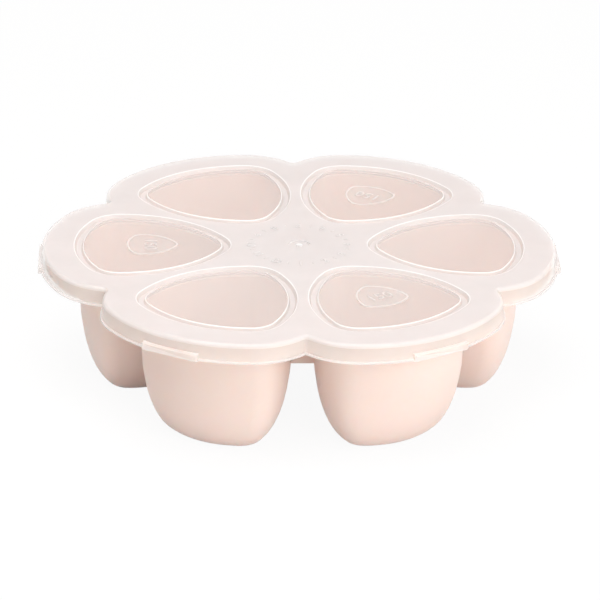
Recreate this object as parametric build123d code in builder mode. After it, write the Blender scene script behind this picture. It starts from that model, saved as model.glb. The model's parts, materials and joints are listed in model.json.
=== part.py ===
"""Lidded freezer tray for portions of baby food: six cups in a ring, under one lid with a window over each.

The tray is moulded in silicone and the lid in polypropylene. Millimetres, +Z up, and the cups stand on Z = 0
about the origin. Every outline round a cup is the same figure, a rounded triangle of constant width that
points at the tray's centre, drawn further out or further in: each is named by how far it lies outside the
edge of the window.
"""
from build123d import *
from math import cos, radians, sin, sqrt, tan
import os

# ---- ring of cups ----
cup_count = 6
ring_radius = 71.0  # tray centre to a cup's axis
triangle_side = 41.2  # between the three arc centres of the rounded triangle
window_corner = 11.5  # corner radius of the window's edge

# ---- tray: cups ----
tray_height = 62.3  # base to the top of the flange
cup_wall = 2.0
cup_floor = 2.4
cup_margin = 1.0  # inner wall outside the window's edge, at the ledge under the lid
cup_draft = 3.4  # degrees
bowl_height = 34.0  # part of the cup that rounds over into its base
bowl_sections = 8
base_side = 24.4  # side of the rounded triangle that the cup ends on
base_corner_inset = 4.0  # corner radius lost over the rounding

# ---- tray: flange, rim and webs ----
flange_thickness = 2.2
flange_edge_bevel = 0.8
rim_height = 6.4  # flange top to the lower edge of its turned-down rim
rim_thickness = 2.2
ledge_thickness = 2.0  # under the seat that runs round each mouth
ledge_bevel = 0.8
hub_radius = 17.0  # round recess in the middle of the flange
hub_depth = 4.5
web_radius = 61.5  # where two neighbouring cups come closest
web_thickness = 3.0
web_depth = 30.0  # below the flange top

# ---- lid ----
deck_thickness = 1.5
deck_margin = 19.1  # window's edge to the lid's outer edge, at the top
deck_edge_round = 2.0
lid_height = 9.0  # top to the lower edge of the skirt
skirt_wall = 1.2
skirt_flare = 4.0  # degrees
notch_round = 2.0  # between two lobes, at the lid's outer edge
lip_width = 0.6  # bead along the skirt's lower edge
lip_thickness = 1.0
tab_length = 28.0  # lift tab on the tip of each lobe
tab_height = 3.4
tab_reach = 0.8  # beyond the skirt's lower edge at the tip of the lobe
tab_bevel = 0.6
window_drop = 0.4
groove_width = 4.1
groove_depth = 1.8
groove_slope = 30.0  # degrees from upright, both walls
rib_wall = 1.1
groove_bevel = 0.3  # depth of the bevels along its two top edges
rib_bevel = 0.5
badge_side = 14.0
badge_corner = 4.9
badge_shift = -2.0  # from the cup's axis, toward the tray's centre
badge_height = 0.25
badge_rim = 0.9
badge_rim_height = 0.15
badge_start = 60.0  # degrees
badge_count = 3  # a badge on every second window
dimple_radius = 5.0
dimple_depth = 0.7
nub_radius = 1.5
nub_height = 0.5

# ---- fits ----
seat_gap = 0.2  # lid's deck over the tray's flange
side_gap = 0.35  # lid's ribs and skirt beside the tray

# ---- worked out ----
flange_z = tray_height
flange_under_z = flange_z - flange_thickness
rim_z = flange_z - rim_height
web_z = flange_z - web_depth
deck_under_z = flange_z + seat_gap
deck_z = deck_under_z + deck_thickness
window_z = deck_z - window_drop
bevel_z = window_z - groove_bevel
groove_z = deck_z - groove_depth
skirt_z = deck_z - lid_height
slope = tan(radians(groove_slope))
bevel_taper = (90 + groove_slope) / 2  # degrees from upright, midway between the deck and the groove's wall
bevel_reach = groove_bevel * (tan(radians(bevel_taper)) - slope)  # out over the deck, or in over the window
flare = tan(radians(skirt_flare))
draft = tan(radians(cup_draft))
wall_across = rib_wall / cos(radians(groove_slope))  # rib wall measured level
inner_margin = -window_drop * slope  # groove's inner wall carried up to the level of the deck's top
rib_margin = groove_width + wall_across  # rib's outer face, at the same level
rib_depth = groove_depth + rib_wall
ledge_z = deck_z - rib_depth - seat_gap
seat_margin = rib_margin + side_gap - (deck_z - flange_z) * slope  # seat's wall at the flange top
seat_depth = flange_z - ledge_z
rim_margin = deck_margin - skirt_wall - side_gap
skirt_margin = deck_margin + lid_height * flare
notch_margin = deck_margin + notch_round
centre_reach = triangle_side / sqrt(3)  # triangle's centre to its arc centres
lobe_fill_radius = ring_radius - centre_reach  # closes the middle, where the lobes don't meet
tab_edge = lobe_fill_radius + triangle_side + window_corner + skirt_margin + tab_reach


def rounded_triangle(corner, side=triangle_side):
    """Constant-width triangle with its corners rounded, about its own centre, one corner pointing to -X."""
    centre_radius = side / sqrt(3)
    with BuildSketch(mode=Mode.PRIVATE) as outline:
        with BuildLine():
            for angle in (180, 60, -60):
                centre = (centre_radius * cos(radians(angle)), centre_radius * sin(radians(angle)))
                CenterArc(centre, corner, angle - 30, 60)
                CenterArc(centre, side + corner, angle + 150, 60)
        make_face()
    return outline.sketch


def petal(margin):
    """The cup's outline, drawn this far outside the edge of the window."""
    return rounded_triangle(window_corner + margin)


def lobes(margin):
    """Outline of all six petals joined, its notches rounded about where the outlines at notch_margin meet."""
    with BuildSketch(mode=Mode.PRIVATE) as outline:
        with PolarLocations(ring_radius, cup_count):
            add(petal(notch_margin))
        Circle(lobe_fill_radius)
        offset(amount=margin - notch_margin)
    return outline.sketch


def tapered(outline, top_z, depth, taper):
    """Solid below an outline, closing in by the taper (degrees) on its way down, or opening if negative."""
    with BuildPart(mode=Mode.PRIVATE) as body:
        with BuildSketch(Plane.XY.offset(top_z)):
            add(outline)
        extrude(amount=-depth, taper=taper)
    return body.part


def vessel(margin, floor_z):
    """Body of a cup: a drafted wall down from the ledge at its mouth, rounding over into a smaller base."""
    bowl_z = floor_z + bowl_height
    with BuildPart(mode=Mode.PRIVATE) as body:
        add(tapered(petal(margin), ledge_z, ledge_z - bowl_z, cup_draft))
        for section in range(bowl_sections):
            turn = radians(90 * section / (bowl_sections - 1))
            height = bowl_z - bowl_height * sin(turn)
            inset = 1 - cos(turn)
            corner = window_corner + margin - (ledge_z - height) * draft - base_corner_inset * inset
            with BuildSketch(Plane.XY.offset(height)):
                add(rounded_triangle(corner, triangle_side + (base_side - triangle_side) * inset))
        loft()
    return body.part


def half_gap(height):
    """Half of the gap between two neighbouring cups where they come closest, at this height."""
    reach = triangle_side + window_corner + cup_margin + cup_wall - (ledge_z - height) * draft
    return ring_radius * sin(radians(180 / cup_count)) - (reach - centre_reach)


# ---- one cup, with the seat round its mouth that takes the lid's rib ----
cup_body = vessel(cup_margin + cup_wall, 0)
cup_space = vessel(cup_margin, cup_floor)
collar = tapered(petal(seat_margin + ledge_thickness), flange_z, seat_depth + ledge_thickness, groove_slope)
seat = tapered(petal(seat_margin), flange_z, seat_depth, groove_slope)

with BuildPart() as cup:
    add(collar)
    add(cup_body)
    add(seat, mode=Mode.SUBTRACT)
    add(cup_space, mode=Mode.SUBTRACT)
    ledge = cup.faces().filter_by(Plane.XY).group_by(Axis.Z)[-2].face()
    chamfer(ledge.inner_wires()[0].edges(), ledge_bevel)

# ---- tray: a flange with a turned-down rim, a recess in its middle, the cups, and a web in each gap ----
with BuildPart() as tray:
    with BuildSketch(Plane.XY.offset(rim_z)):
        add(lobes(rim_margin))
    extrude(amount=rim_height)
    chamfer(tray.faces().sort_by(Axis.Z)[-1].edges(), flange_edge_bevel)
    with BuildSketch(Plane.XY.offset(rim_z)):
        add(lobes(rim_margin - rim_thickness))
    extrude(amount=rim_height - flange_thickness, mode=Mode.SUBTRACT)
    with BuildSketch(Plane.XY.offset(flange_under_z)):
        Circle(hub_radius + flange_thickness)
    extrude(amount=-hub_depth)
    with BuildSketch(Plane.XY.offset(flange_z)):
        Circle(hub_radius)
    extrude(amount=-hub_depth, mode=Mode.SUBTRACT)
    with BuildSketch(Plane.XY.offset(flange_z)):
        with PolarLocations(ring_radius, cup_count):
            add(petal(seat_margin))
    extrude(amount=-flange_thickness, mode=Mode.SUBTRACT)
    with PolarLocations(ring_radius, cup_count):
        add(cup.part)
    low = half_gap(web_z) + cup_wall / 2
    high = half_gap(flange_under_z) + cup_wall / 2
    for index in range(cup_count):
        turn = radians(360 / cup_count * (index + 0.5))
        along = Vector(cos(turn), sin(turn), 0)
        across = Vector(-sin(turn), cos(turn), 0)
        with BuildSketch(Plane(origin=along * web_radius, x_dir=across, z_dir=along)):
            Polygon((-high, flange_under_z), (-low, web_z), (low, web_z), (high, flange_under_z), align=None)
        extrude(amount=web_thickness / 2, both=True)
tray.part.label = "tray"

# ---- lid: a deck with a flared skirt, a rib and a groove round each window, and a lift tab on each lobe ----
lid_body = tapered(lobes(deck_margin), deck_z, lid_height, -skirt_flare)
lid_space = tapered(
    lobes(deck_margin - skirt_wall + (deck_z - deck_under_z) * flare), deck_under_z,
    deck_under_z - skirt_z, -skirt_flare)

with BuildPart() as rib:
    add(tapered(petal(rib_margin), deck_z, rib_depth, groove_slope))
    add(tapered(petal(inner_margin - wall_across), deck_z, rib_depth, -groove_slope), mode=Mode.SUBTRACT)
    chamfer(rib.faces().sort_by(Axis.Z)[0].edges(), rib_bevel)

with BuildPart() as groove:
    add(tapered(petal(groove_width), deck_z, groove_depth, groove_slope))
    add(tapered(petal(groove_width + bevel_reach), deck_z, groove_bevel, bevel_taper))
    add(tapered(petal(-bevel_reach), window_z, groove_bevel, -bevel_taper), mode=Mode.SUBTRACT)
    add(tapered(petal(groove_bevel * slope), bevel_z, bevel_z - groove_z, -groove_slope), mode=Mode.SUBTRACT)

with BuildPart() as tab:
    with BuildSketch(Plane.XY.offset(skirt_z)):
        with Locations((tab_edge, 0)):
            Rectangle(ring_radius - lobe_fill_radius, tab_length, align=(Align.MAX, Align.CENTER))
    extrude(amount=tab_height)
    chamfer(tab.edges().filter_by(Axis.Z).group_by(Axis.X)[-1], tab_bevel)
    chamfer(tab.faces().sort_by(Axis.Z)[-1].edges().sort_by(Axis.X)[-3:], tab_bevel)

with BuildPart() as lid:
    add(lid_body)
    fillet(lid.faces().sort_by(Axis.Z)[-1].edges(), deck_edge_round)
    with BuildSketch(Plane.XY.offset(skirt_z)):
        add(lobes(skirt_margin + lip_width))
    extrude(amount=lip_thickness)
    with PolarLocations(0, cup_count):
        add(tab.part)
    add(lid_space, mode=Mode.SUBTRACT)
    with PolarLocations(ring_radius, cup_count):
        add(rib.part)
    with PolarLocations(ring_radius, cup_count):
        add(groove.part, mode=Mode.SUBTRACT)
    with BuildSketch(Plane.XY.offset(window_z)):
        with PolarLocations(ring_radius + badge_shift, badge_count, start_angle=badge_start):
            add(rounded_triangle(badge_corner, badge_side))
    extrude(amount=badge_height + badge_rim_height)
    with BuildSketch(Plane.XY.offset(window_z + badge_height)):
        with PolarLocations(ring_radius + badge_shift, badge_count, start_angle=badge_start):
            add(rounded_triangle(badge_corner - badge_rim, badge_side))
    extrude(amount=badge_rim_height, mode=Mode.SUBTRACT)
    with BuildSketch(Plane.XY.offset(deck_z)):
        Circle(dimple_radius)
        Circle(nub_radius, mode=Mode.SUBTRACT)
    extrude(amount=-dimple_depth, mode=Mode.SUBTRACT)
    with BuildSketch(Plane.XY.offset(deck_z)):
        Circle(nub_radius)
    extrude(amount=nub_height - dimple_depth, mode=Mode.SUBTRACT)
lid.part.label = "lid"

os.makedirs("parts", exist_ok=True)
export_step(tray.part, "parts/tray.step")
export_step(lid.part, "parts/lid.step")
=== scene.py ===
"""Looks for a lidded baby food tray: a soft silicone tray under a frosted lid with clear windows."""

import json
from math import cos, pi, radians, sin, sqrt

import bmesh
import bpy
from mathutils import Matrix, Vector

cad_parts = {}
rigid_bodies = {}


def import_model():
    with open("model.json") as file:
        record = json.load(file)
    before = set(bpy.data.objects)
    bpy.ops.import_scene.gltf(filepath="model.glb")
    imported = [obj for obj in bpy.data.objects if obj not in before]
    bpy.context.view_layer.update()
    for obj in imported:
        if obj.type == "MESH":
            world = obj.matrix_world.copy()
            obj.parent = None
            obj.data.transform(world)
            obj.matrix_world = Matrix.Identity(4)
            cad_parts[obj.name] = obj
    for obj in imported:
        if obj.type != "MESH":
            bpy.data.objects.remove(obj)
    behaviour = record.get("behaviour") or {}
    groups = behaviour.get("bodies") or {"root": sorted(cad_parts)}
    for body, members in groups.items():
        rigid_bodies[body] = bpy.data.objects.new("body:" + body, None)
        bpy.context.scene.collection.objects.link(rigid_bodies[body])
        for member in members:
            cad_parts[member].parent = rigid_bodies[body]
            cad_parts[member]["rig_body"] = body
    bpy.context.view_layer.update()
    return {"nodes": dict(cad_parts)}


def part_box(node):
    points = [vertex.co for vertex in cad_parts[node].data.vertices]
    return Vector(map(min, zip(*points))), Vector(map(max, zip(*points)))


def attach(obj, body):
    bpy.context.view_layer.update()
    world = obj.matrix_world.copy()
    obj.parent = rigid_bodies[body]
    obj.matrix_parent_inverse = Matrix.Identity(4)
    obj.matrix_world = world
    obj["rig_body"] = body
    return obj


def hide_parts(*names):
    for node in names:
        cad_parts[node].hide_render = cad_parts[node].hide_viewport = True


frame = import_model()

MM = 0.001
PIECE_MERGE = 0.002 * MM  # corners of the CAD mesh nearer than this are one
SHARP_ANGLE = radians(28)  # an edge that turns less is shaded smooth
LEVEL = 0.96  # upright part of the normal from which a face counts as level

# ---- sizes of the tray and lid, in metres ----
CUP_COUNT = 6
RING_RADIUS = 71 * MM  # middle of the tray to a cup's axis
TRIANGLE_SIDE = 41.2 * MM  # between the arc centres of a window's rounded triangle
WINDOW_CORNER = 11.5 * MM  # radius of its corners
EDGE_DEPTH = 0.3 * MM  # of the rounded edges of the groove round a window
EDGE_REACH = 0.35 * MM  # how far the inner one of them takes in the window
RIB_WIDTH = 4.9 * MM  # from the edge of a window, across the groove and the rib under it
LID_LOW, LID_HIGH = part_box("lid")
DECK_Z = LID_HIGH.z
SKIRT_Z = LID_LOW.z
BEAD_Z = SKIRT_Z + 1.0 * MM  # top of the bead along the skirt's lower edge
WINDOW_Z = DECK_Z - 0.4 * MM
BADGE_Z = WINDOW_Z + 0.25 * MM  # the flat inside a badge's rim
BADGE_RADIUS = 69 * MM  # middle of the tray to the middle of a badge
MONTH_RADIUS = 22.4 * MM  # middle of the tray to the month numbers
DECK_ROUND = 2 * MM  # of the deck's outer edge
DIMPLE_REACH = 6.5 * MM  # from the middle, takes in the dimple round the gate mark
NUB_REACH = 2 * MM  # from the middle, takes in the gate mark itself
FIGURE_HALF_DEPTH = 0.06 * MM  # of a moulded number's straight side
FIGURE_ROUND = 0.05 * MM
FIGURE_HEIGHT = FIGURE_HALF_DEPTH + FIGURE_ROUND
DECK_TOP = DECK_Z - FIGURE_HEIGHT  # the deck is set down a little, so that its numbers end level with the CAD lid

DECK, SKIRT_PAINTED_GLOW, THICK_AND_PAINTED_HIGHLIGHT, EDGE_PAINTED_HIGHLIGHT, BADGE, WINDOW = range(6)  # finishes of the lid, in the order of its material slots

# ---- studio ----
FILL = 0.2  # strength of the white surroundings as a light; the camera sees them at full strength
FLOOR_WHITE = 0.93  # share of the floor that is plain white to the camera; the rest takes the tray's shadow

# ---- camera, about the middle of the lid's deck ----
FRAME_PIXELS = 600
FOCAL_PIXELS = 3985.86
CAMERA_DISTANCE = 1.84468
CAMERA_AZIMUTH = radians(-1.9907)
CAMERA_ELEVATION = radians(23.8274)
CAMERA_ROLL = radians(0.8195)
CAMERA_ASIDE = 0.00035
CAMERA_DOWN = 0.02586
SENSOR_WIDTH = 36.0


# ---- small helpers ----
def linear(hex_colour):
    """An sRGB hex colour as linear RGBA."""
    channels = [int(hex_colour[place:place + 2], 16) / 255 for place in (1, 3, 5)]
    return [c / 12.92 if c <= 0.04045 else ((c + 0.055) / 1.055) ** 2.4 for c in channels] + [1.0]


def add_node(tree, kind, inputs=None, **settings):
    """Adds a node. Settings are its own properties; inputs are its sockets' values, or sockets to link from."""
    node = tree.nodes.new(kind)
    for name, value in settings.items():
        setattr(node, name, value)
    for name, value in (inputs or {}).items():
        if isinstance(value, bpy.types.NodeSocket):
            tree.links.new(value, node.inputs[name])
        else:
            node.inputs[name].default_value = value
    return node


def new_material(name):
    """An empty node material and its tree."""
    material = bpy.data.materials.new(name)
    material.use_nodes = True
    material.node_tree.nodes.clear()
    return material, material.node_tree


def per_metre(grain_mm):
    """Scale of a noise whose grain has this size, on coordinates in metres."""
    return 1000 / grain_mm


# ---- materials ----
def moulded_silicone():
    """Food-grade silicone rubber from a fine-blasted mould: soft and matt, with light bleeding a little way in."""
    material, tree = new_material("moulded_silicone")
    place = add_node(tree, "ShaderNodeTexCoord").outputs["Object"]
    batch = add_node(tree, "ShaderNodeTexNoise", {"Vector": place, "Scale": per_metre(45), "Detail": 2.0})
    colour = add_node(tree, "ShaderNodeMix", {
        "Factor": batch.outputs["Fac"], 6: linear("#F5E2DA"), 7: linear("#F2DCD3")}, data_type="RGBA")
    # Blasted texture, about 0.3 mm on the real surface, drawn at 0.7 mm so that it shows.
    blast = add_node(tree, "ShaderNodeTexNoise", {"Vector": place, "Scale": per_metre(0.7), "Detail": 3.0})
    relief = add_node(tree, "ShaderNodeBump", {
        "Height": blast.outputs["Fac"], "Strength": 0.12, "Distance": 0.05 * MM})
    touched = add_node(tree, "ShaderNodeTexNoise", {"Vector": place, "Scale": per_metre(18), "Detail": 4.0})
    roughness = add_node(tree, "ShaderNodeMapRange", {
        "Value": touched.outputs["Fac"], "From Min": 0.3, "From Max": 0.7, "To Min": 0.48, "To Max": 0.58})
    surface = add_node(tree, "ShaderNodeBsdfPrincipled", {
        "Base Color": colour.outputs[2], "Roughness": roughness.outputs["Result"], "IOR": 1.41,
        "Subsurface Weight": 0.5, "Subsurface Radius": (1.0, 0.6, 0.45), "Subsurface Scale": 4 * MM,
        "Sheen Weight": 0.08, "Sheen Roughness": 0.5, "Normal": relief.outputs["Normal"]})
    add_node(tree, "ShaderNodeOutputMaterial", {"Surface": surface.outputs["BSDF"]})
    return material


def frosted_polypropylene(name, haze, colour="#EAE3E1"):
    """Polypropylene from a textured mould: milky with a soft gloss. Haze is the share of light one face stops."""
    material, tree = new_material(name)
    place = add_node(tree, "ShaderNodeTexCoord").outputs["Object"]
    # Spark-eroded grain, about 0.2 mm on the real surface, drawn at 0.6 mm so that it shows.
    grain = add_node(tree, "ShaderNodeTexNoise", {"Vector": place, "Scale": per_metre(0.6), "Detail": 2.0})
    relief = add_node(tree, "ShaderNodeBump", {
        "Height": grain.outputs["Fac"], "Strength": 0.03, "Distance": 0.04 * MM})
    flow = add_node(tree, "ShaderNodeTexNoise", {"Vector": place, "Scale": per_metre(30), "Detail": 3.0})
    milk = add_node(tree, "ShaderNodeMapRange", {
        "Value": flow.outputs["Fac"], "From Min": 0.3, "From Max": 0.7, "To Min": haze - 0.03, "To Max": haze + 0.03})
    surface = add_node(tree, "ShaderNodeBsdfPrincipled", {
        "Base Color": linear(colour), "Roughness": 0.34, "IOR": 1.49, "Alpha": milk.outputs["Result"],
        "Subsurface Weight": 0.6, "Subsurface Radius": (1.0, 0.95, 0.92), "Subsurface Scale": 2.0 * MM,
        "Normal": relief.outputs["Normal"]})
    add_node(tree, "ShaderNodeOutputMaterial", {"Surface": surface.outputs["BSDF"]})
    return material


def polished_polypropylene():
    """The same polypropylene where the mould is polished: clear, with a faint haze and a sharp gloss."""
    material, tree = new_material("polished_polypropylene")
    place = add_node(tree, "ShaderNodeTexCoord").outputs["Object"]
    sink = add_node(tree, "ShaderNodeTexNoise", {"Vector": place, "Scale": per_metre(25), "Detail": 1.0})
    relief = add_node(tree, "ShaderNodeBump", {
        "Height": sink.outputs["Fac"], "Strength": 0.3, "Distance": 0.1 * MM})
    surface = add_node(tree, "ShaderNodeBsdfPrincipled", {
        "Base Color": linear("#FBF2EE"), "Roughness": 0.12, "IOR": 1.49, "Alpha": 0.27,
        "Normal": relief.outputs["Normal"]})
    add_node(tree, "ShaderNodeOutputMaterial", {"Surface": surface.outputs["BSDF"]})
    return material


def studio_floor():
    """Pale seamless floor: white to the camera, with a faint trace of the tray's shadow, and clear from below."""
    material, tree = new_material("studio_floor")
    ray = add_node(tree, "ShaderNodeLightPath").outputs
    seen = add_node(tree, "ShaderNodeMath", {0: ray["Is Camera Ray"], 1: ray["Is Glossy Ray"]}, operation="MAXIMUM")
    seen = add_node(tree, "ShaderNodeMath", {0: seen.outputs[0], 1: ray["Is Transmission Ray"]},
                    operation="MAXIMUM")
    share = add_node(tree, "ShaderNodeMath", {0: seen.outputs[0], 1: FLOOR_WHITE}, operation="MULTIPLY")
    paper = add_node(tree, "ShaderNodeBsdfDiffuse", {"Color": linear("#F4F2F0")})
    white = add_node(tree, "ShaderNodeEmission", {"Color": linear("#FFFFFF"), "Strength": 1.0})
    mixed = add_node(tree, "ShaderNodeMixShader", {
        "Fac": share.outputs[0], 1: paper.outputs["BSDF"], 2: white.outputs["Emission"]})
    below = add_node(tree, "ShaderNodeNewGeometry").outputs["Backfacing"]
    clear = add_node(tree, "ShaderNodeBsdfTransparent")
    one_sided = add_node(tree, "ShaderNodeMixShader", {
        "Fac": below, 1: mixed.outputs["Shader"], 2: clear.outputs["BSDF"]})
    add_node(tree, "ShaderNodeOutputMaterial", {"Surface": one_sided.outputs["Shader"]})
    return material


# ---- pieces ----
def merged_copy(node, name):
    """A copy of a CAD node with its triangles joined, which rides on the node's body and stands for it."""
    source = frame["nodes"][node]
    piece = bpy.data.objects.new(name, source.data.copy())
    bpy.context.scene.collection.objects.link(piece)
    mesh = bmesh.new()
    mesh.from_mesh(piece.data)
    bmesh.ops.remove_doubles(mesh, verts=mesh.verts, dist=PIECE_MERGE)
    for face in mesh.faces:
        face.smooth = True
    for edge in mesh.edges:
        edge.smooth = edge.calc_face_angle(0) < SHARP_ANGLE
    mesh.to_mesh(piece.data)
    mesh.free()
    piece.data.materials.clear()
    weights = piece.modifiers.new("even_shading", "WEIGHTED_NORMAL")
    weights.keep_sharp = True
    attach(piece, source["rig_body"])
    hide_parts(node)
    return piece


def outside_window(point):
    """How far a point of the lid lies outside the edge of the nearest window, or inside it if negative."""
    step = 2 * pi / CUP_COUNT
    turn = round(Vector((point.x, point.y)).angle_signed(Vector((1, 0)), 0) / step) * step
    local = Matrix.Rotation(-turn, 3, "Z") @ Vector((point.x, point.y, 0)) - Vector((RING_RADIUS, 0, 0))
    corners = [Vector((cos(radians(angle)), sin(radians(angle)), 0)) * (TRIANGLE_SIDE / sqrt(3))
               for angle in (180, 60, -60)]
    for corner in corners:
        if (local - corner).angle(corner, 0) < radians(30):
            return (local - corner).length - WINDOW_CORNER
    return max((local - corner).length for corner in corners) - TRIANGLE_SIDE - WINDOW_CORNER


def make_tray():
    tray = merged_copy("tray", "tray_moulding")
    tray.data.materials.append(moulded_silicone())
    return tray


def lid_finish(face):
    """Which of the lid's finishes a face has."""
    level = abs(face.normal.z) > LEVEL
    height = face.center.z
    margin = outside_window(face.center)
    if margin < -EDGE_REACH:
        if height < WINDOW_Z + 0.1 * MM:
            return WINDOW
        return BADGE if level and height < BADGE_Z + 0.05 * MM else THICK_AND_PAINTED_HIGHLIGHT
    if margin < RIB_WIDTH:
        if level:
            return DECK
        if face.normal.z < 0:
            return WINDOW
        # The groove's upper rims take the lightest finish, a painted highlight; its lower walls take the thick
        # finish, which is partly painted highlight.
        return EDGE_PAINTED_HIGHLIGHT if height > WINDOW_Z - EDGE_DEPTH else THICK_AND_PAINTED_HIGHLIGHT
    # The gate mark and the dimple's wall take the painted-highlight finish, which also paints the dimple's shaded
    # wall light.
    if face.center.xy.length < NUB_REACH:
        return EDGE_PAINTED_HIGHLIGHT
    if face.center.xy.length < DIMPLE_REACH:
        return DECK if level else EDGE_PAINTED_HIGHLIGHT
    if level:
        return DECK
    # The deck's rounded edge and the bead take the thick finish: milkier because the plastic is thicker there, and
    # lighter than the deck as a painted highlight.
    if height > DECK_Z - DECK_ROUND or height < BEAD_Z:
        return THICK_AND_PAINTED_HIGHLIGHT
    # The skirt's finish is a painted glow: lighter and warmer than the deck.
    return SKIRT_PAINTED_GLOW


def make_lid():
    """The lid's sheet, frosted but for its windows, and milkier where it is thick or seen edge on. Its skirt, thick
    parts, groove rims and gate mark are lighter copies of the plastic that carry painted glow and painted highlight.
    """
    lid = merged_copy("lid", "lid_moulding")
    for vertex in lid.data.vertices:
        if vertex.co.z > DECK_TOP and outside_window(vertex.co) > 0:
            vertex.co.z = DECK_TOP
    for material in (frosted_polypropylene("frosted_polypropylene", 0.6),
                     # Skirt copy, clearer than the deck and lighter and warmer in colour: painted glow that stands in
                     # for light shining through the skirt from behind.
                     frosted_polypropylene("frosted_polypropylene_skirt_painted_glow", 0.4, "#FBF0EA"),
                     # Thick copy: milkier where the plastic is thick, and lighter than the deck, which is painted
                     # highlight on rounded edges, the bead and the groove and window walls.
                     frosted_polypropylene("frosted_polypropylene_thick_painted_highlight", 0.52, "#F4EEEB"),
                     # Lightest copy, near white and milkiest: painted highlight on the groove rims, the gate mark and
                     # the dimple wall.
                     frosted_polypropylene("frosted_polypropylene_edge_painted_highlight", 0.7, "#FBF7F5"),
                     frosted_polypropylene("frosted_polypropylene_badge", 0.3, "#FBF4F0"),
                     polished_polypropylene()):
        lid.data.materials.append(material)
    for face in lid.data.polygons:
        face.material_index = lid_finish(face)
    return lid


def raised_figures(name, texts, size, radius, start, step, level, haze):
    """Plain numbers moulded proud of the lid, each at its own angle with its top toward the tray's centre."""
    mesh = bmesh.new()
    for index, text in enumerate(texts):
        curve = bpy.data.curves.new("figure", "FONT")
        curve.body = text
        curve.size = size
        curve.align_x = "CENTER"
        curve.align_y = "CENTER"
        curve.extrude = FIGURE_HALF_DEPTH
        curve.bevel_depth = FIGURE_ROUND
        curve.resolution_u = 3
        drawn = bpy.data.objects.new("figure", curve)
        flat = bpy.data.meshes.new_from_object(drawn)
        angle = start + step * index
        flat.transform(Matrix.Rotation(angle, 4, "Z") @ Matrix.Translation((radius, 0, level))
                       @ Matrix.Rotation(pi / 2, 4, "Z"))
        mesh.from_mesh(flat)
        bpy.data.objects.remove(drawn)
        bpy.data.meshes.remove(flat)
        bpy.data.curves.remove(curve)
    data = bpy.data.meshes.new(name)
    mesh.to_mesh(data)
    mesh.free()
    figures = bpy.data.objects.new(name, data)
    bpy.context.scene.collection.objects.link(figures)
    data.materials.append(frosted_polypropylene(name + "_polypropylene", haze))
    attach(figures, "lid")
    return figures


# ---- stage ----
def make_floor():
    mesh = bmesh.new()
    bmesh.ops.create_grid(mesh, x_segments=1, y_segments=1, size=6.0)
    data = bpy.data.meshes.new("floor")
    mesh.to_mesh(data)
    mesh.free()
    floor = bpy.data.objects.new("floor", data)
    bpy.context.scene.collection.objects.link(floor)
    data.materials.append(studio_floor())


def make_world():
    world = bpy.data.worlds.new("studio")
    bpy.context.scene.world = world
    world.use_nodes = True
    tree = world.node_tree
    tree.nodes.clear()
    ray = add_node(tree, "ShaderNodeLightPath").outputs
    seen = add_node(tree, "ShaderNodeMath", {0: ray["Is Camera Ray"], 1: ray["Is Glossy Ray"]}, operation="MAXIMUM")
    seen = add_node(tree, "ShaderNodeMath", {0: seen.outputs[0], 1: ray["Is Transmission Ray"]},
                    operation="MAXIMUM")
    level = add_node(tree, "ShaderNodeMapRange", {"Value": seen.outputs[0], "To Min": FILL, "To Max": 1.0})
    sky = add_node(tree, "ShaderNodeBackground", {
        "Color": linear("#FFFFFF"), "Strength": level.outputs["Result"]})
    add_node(tree, "ShaderNodeOutputWorld", {"Surface": sky.outputs["Background"]})


def make_lamp(name, place, size, power):
    """A square softbox that faces the middle of the tray."""
    data = bpy.data.lights.new(name, "AREA")
    data.size = size
    data.energy = power
    lamp = bpy.data.objects.new(name, data)
    lamp.visible_camera = False
    lamp.location = place
    lamp.rotation_mode = "QUATERNION"
    lamp.rotation_quaternion = (Vector((0, 0, DECK_Z / 2)) - Vector(place)).to_track_quat("-Z", "Y")
    bpy.context.scene.collection.objects.link(lamp)


def make_camera():
    back = Vector((sin(CAMERA_AZIMUTH) * cos(CAMERA_ELEVATION),
                   -cos(CAMERA_AZIMUTH) * cos(CAMERA_ELEVATION), sin(CAMERA_ELEVATION)))
    level = Vector((0, 0, 1)).cross(back).normalized()
    upright = back.cross(level)
    right = cos(CAMERA_ROLL) * level + sin(CAMERA_ROLL) * upright
    up = back.cross(right)
    data = bpy.data.cameras.new("camera")
    data.sensor_width = SENSOR_WIDTH
    data.lens = FOCAL_PIXELS * SENSOR_WIDTH / FRAME_PIXELS
    data.clip_end = 20
    camera = bpy.data.objects.new("camera", data)
    place = Vector((0, 0, DECK_Z)) + back * CAMERA_DISTANCE + right * CAMERA_ASIDE - up * CAMERA_DOWN
    camera.matrix_world = Matrix.Translation(place) @ Matrix((right, up, back)).transposed().to_4x4()
    bpy.context.scene.collection.objects.link(camera)
    bpy.context.scene.camera = camera


make_tray()
make_lid()
raised_figures("month_figures", [str(month) for month in range(1, 13)], 5.4 * MM, MONTH_RADIUS,
               radians(-90), radians(30), DECK_TOP, 0.8)
raised_figures("month_ticks", ["|"] * 12, 2.4 * MM, MONTH_RADIUS, radians(-75), radians(30), DECK_TOP, 0.8)
raised_figures("capacity_figures", ["150"] * 3, 8.5 * MM, BADGE_RADIUS, radians(60), radians(120), BADGE_Z, 0.6)
make_floor()
make_world()
make_lamp("softbox_front_right", (1.3, -1.9, 1.0), 1.4, 23.5)
make_lamp("softbox_right", (2.3, -0.6, 1.0), 1.4, 13)
make_lamp("softbox_above", (-0.2, -0.3, 1.5), 1.2, 26)
make_camera()
bpy.context.scene.view_settings.view_transform = "Standard"
